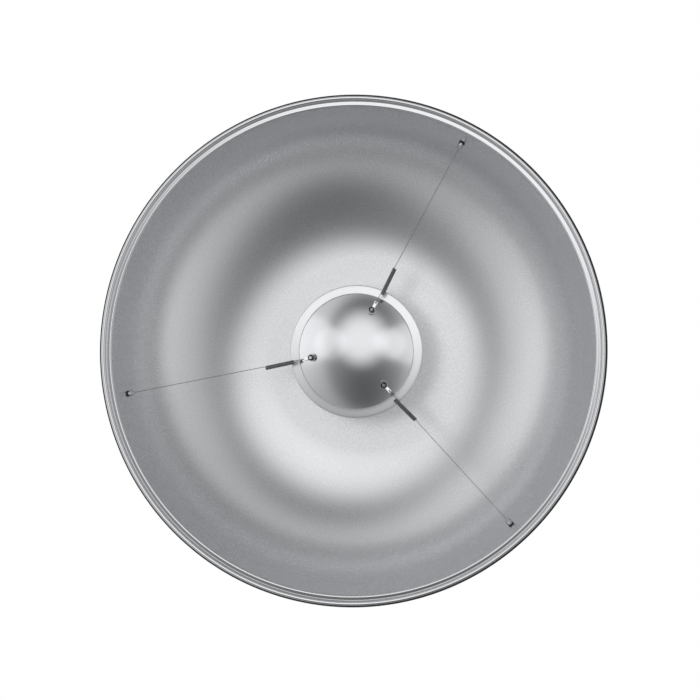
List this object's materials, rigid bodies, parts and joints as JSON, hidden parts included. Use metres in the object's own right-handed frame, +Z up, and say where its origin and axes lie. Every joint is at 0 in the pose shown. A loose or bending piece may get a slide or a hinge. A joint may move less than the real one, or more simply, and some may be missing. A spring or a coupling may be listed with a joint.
{
  "type": "beauty dish reflector",
  "caption": "Round silver-lined softlight bowl with a black outside, a bayonet ring behind and a domed deflector disc floating on sprung wires.",
  "frame": {"origin": "centre of the bayonet ring's rear seat face, on the lamp axis", "axes": "+Y to the rear along the lamp axis, the bowl opens towards -Y, +Z up as used with the axis level, +X to the right seen from the front"},
  "size_m": [0.5, 0.1247, 0.5],
  "materials": {
    "spun_aluminium": "silver satin inside and on the rolled rim, black paint outside",
    "polished_aluminium": "satin polished dome, brighter matt brim",
    "turned_aluminium": "turned, clear anodised",
    "black_paint": "fine textured black paint",
    "soft_rubber": "matt",
    "black_screw": "black oxide",
    "steel_screw": "zinc plated",
    "plated_steel": "nickel plated",
    "spring_wire": "bright drawn wire"
  },
  "bodies": {
    "dish": {"dish_shell": "spun_aluminium", "bayonet_ring": "turned_aluminium", "mount_collar": "black_paint", "collar_gasket": "soft_rubber", "neck_screws": "black_screw", "ring_screws": "steel_screw", "anchor_stud_1": "plated_steel", "anchor_washer_1": "plated_steel", "anchor_nut_1": "plated_steel", "anchor_stud_2": "plated_steel", "anchor_washer_2": "plated_steel", "anchor_nut_2": "plated_steel", "anchor_stud_3": "plated_steel", "anchor_washer_3": "plated_steel", "anchor_nut_3": "plated_steel"},
    "deflector": {"deflector_disc": "polished_aluminium", "lug_spacer_1": "plated_steel", "lug_1": "plated_steel", "lug_screw_1": "plated_steel", "lug_nut_1": "plated_steel", "lug_spacer_2": "plated_steel", "lug_2": "plated_steel", "lug_screw_2": "plated_steel", "lug_nut_2": "plated_steel", "lug_spacer_3": "plated_steel", "lug_3": "plated_steel", "lug_screw_3": "plated_steel", "lug_nut_3": "plated_steel"},
    "wire_1": {"suspension_wire_1": "spring_wire"},
    "wire_2": {"suspension_wire_2": "spring_wire"},
    "wire_3": {"suspension_wire_3": "spring_wire"}
  },
  "joints": [
    {"name": "deflector_float", "type": "slide", "parent": "dish", "child": "deflector", "axis": [0, 1, 0], "range_m": [-0.01, 0.01], "stiffness_N_per_m": 90},
    {"name": "wire_pivot_1", "type": "hinge", "parent": "dish", "child": "wire_1", "pos_m": [0.10437, -0.09799, 0.20136], "axis": [0.878, 0, -0.4787], "range_deg": [-3.5, 3.5]},
    {"name": "wire_pivot_2", "type": "hinge", "parent": "dish", "child": "wire_2", "pos_m": [-0.22322, -0.09799, -0.04016], "axis": [-0.1864, 0, 0.9825], "range_deg": [-3.5, 3.5]},
    {"name": "wire_pivot_3", "type": "hinge", "parent": "dish", "child": "wire_3", "pos_m": [0.15235, -0.09799, -0.16801], "axis": [-0.7367, 0, -0.6763], "range_deg": [-3.5, 3.5]}
  ],
  "couplings": [
    {"joint": "wire_pivot_1", "follows": "deflector_float", "rad_per_m": 5.7011},
    {"joint": "wire_pivot_2", "follows": "deflector_float", "rad_per_m": 5.7066},
    {"joint": "wire_pivot_3", "follows": "deflector_float", "rad_per_m": 5.7074}
  ]
}
